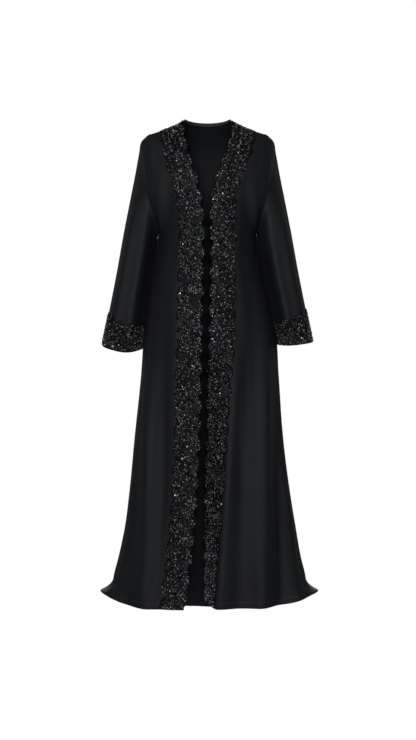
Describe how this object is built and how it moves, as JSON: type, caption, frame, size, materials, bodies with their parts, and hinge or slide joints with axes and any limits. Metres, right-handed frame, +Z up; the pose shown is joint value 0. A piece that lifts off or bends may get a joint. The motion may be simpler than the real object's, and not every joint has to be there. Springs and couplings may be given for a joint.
{
  "type": "open-front abaya cloak, worn hollow",
  "caption": "Full-length open cloak in plain black crepe, V neck, long straight sleeves, raised floral lace down both front edges and round the cuffs, hollow as worn.",
  "frame": {"origin": "midway between the two neck points, the tops of the shoulder seams at the neck, where the wearer's shoulders carry the cloak", "axes": "+Z up, the front faces -Y, +X to the wearer's left"},
  "size_m": [0.6315, 0.2892, 1.4347],
  "materials": {
    "crepe": "matte",
    "lace": "satin",
    "tape": "matte"
  },
  "bodies": {
    "root": {"front_right": "crepe", "front_left": "crepe", "back": "crepe", "sleeve_right": "crepe", "sleeve_left": "crepe", "lace_front_right": "lace", "lace_front_left": "lace", "lace_cuff_right": "lace", "lace_cuff_left": "lace", "neck_tape": "tape"}
  },
  "joints": []
}
